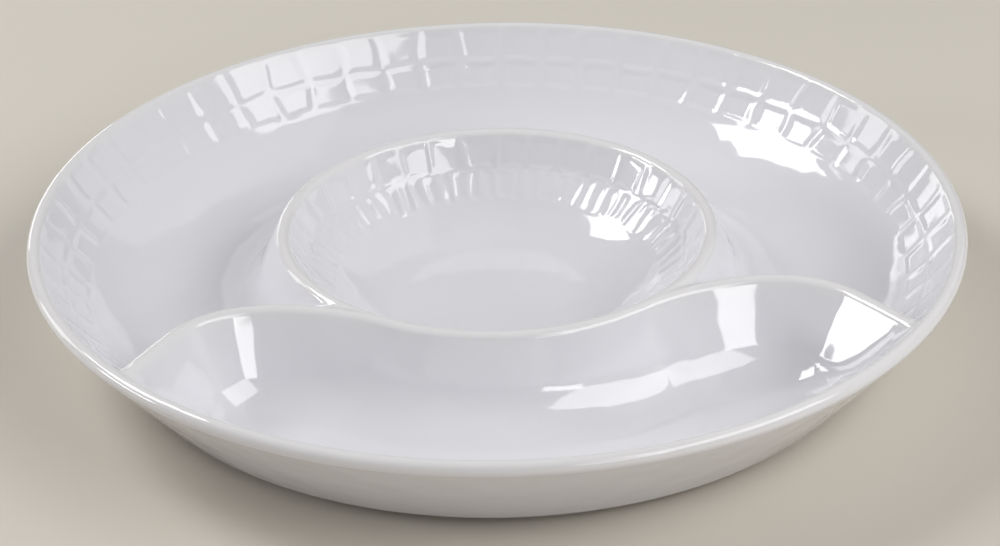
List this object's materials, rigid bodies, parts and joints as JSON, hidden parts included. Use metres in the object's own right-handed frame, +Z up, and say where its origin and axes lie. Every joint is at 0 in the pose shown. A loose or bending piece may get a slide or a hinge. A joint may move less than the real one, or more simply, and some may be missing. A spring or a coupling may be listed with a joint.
{
  "type": "divided serving bowl",
  "caption": "Round shallow serving dish with a dip bowl in the middle, a C-shaped trough round it and a crescent compartment in front, parted by a wavy divider, in white gloss glaze.",
  "frame": {"origin": "centre of the dish on the plane that the foot ring stands on", "axes": "+Z up, the crescent compartment faces -Y, and the dish is the same on both sides of the YZ plane"},
  "size_m": [0.305, 0.305, 0.0395],
  "materials": {
    "white_glaze": "gloss",
    "lip_glaze": "gloss",
    "bare_clay": "matte"
  },
  "bodies": {
    "root": {"foot_ring": "bare_clay", "floor": "white_glaze", "outer_wall": "white_glaze", "rim_lip": "lip_glaze", "wall_relief": "white_glaze", "dip_bowl": "white_glaze", "bowl_relief": "white_glaze", "divider_left": "white_glaze", "divider_right": "white_glaze"}
  },
  "joints": []
}
